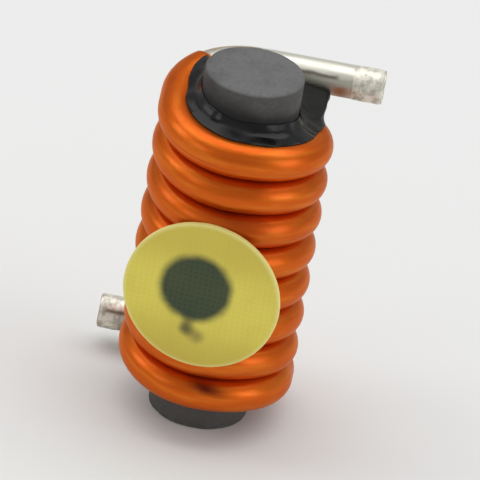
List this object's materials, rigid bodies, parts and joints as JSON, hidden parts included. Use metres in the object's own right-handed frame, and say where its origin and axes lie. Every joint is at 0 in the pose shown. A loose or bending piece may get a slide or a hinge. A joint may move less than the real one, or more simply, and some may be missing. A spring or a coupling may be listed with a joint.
{
  "type": "ferrite rod choke",
  "caption": "Surface-mount choke: a ferrite rod inside a close-wound coil of thick enamelled wire, with two straight tinned leads and a round pick-up pad.",
  "frame": {"origin": "centre of the rod's lower end face, on which the part stands", "axes": "+Z along the rod towards the end with the adhesive, +X along the upper lead, and the pick-up pad faces -Y"},
  "size_m": [0.0097, 0.0086, 0.0155],
  "materials": {
    "ferrite": "matt, fine-grained grey",
    "enamelled_copper": "glossy orange enamel over copper",
    "solder": "dull mottled solder",
    "black_epoxy": "glossy black",
    "glass_cloth": "satin yellow glass cloth, slightly translucent"
  },
  "bodies": {
    "root": {"ferrite_core": "ferrite", "winding_wire": "enamelled_copper", "upper_lead_tinning": "solder", "lower_lead_tinning": "solder", "core_adhesive": "black_epoxy", "pickup_pad": "glass_cloth", "pad_adhesive": "black_epoxy"}
  },
  "joints": []
}
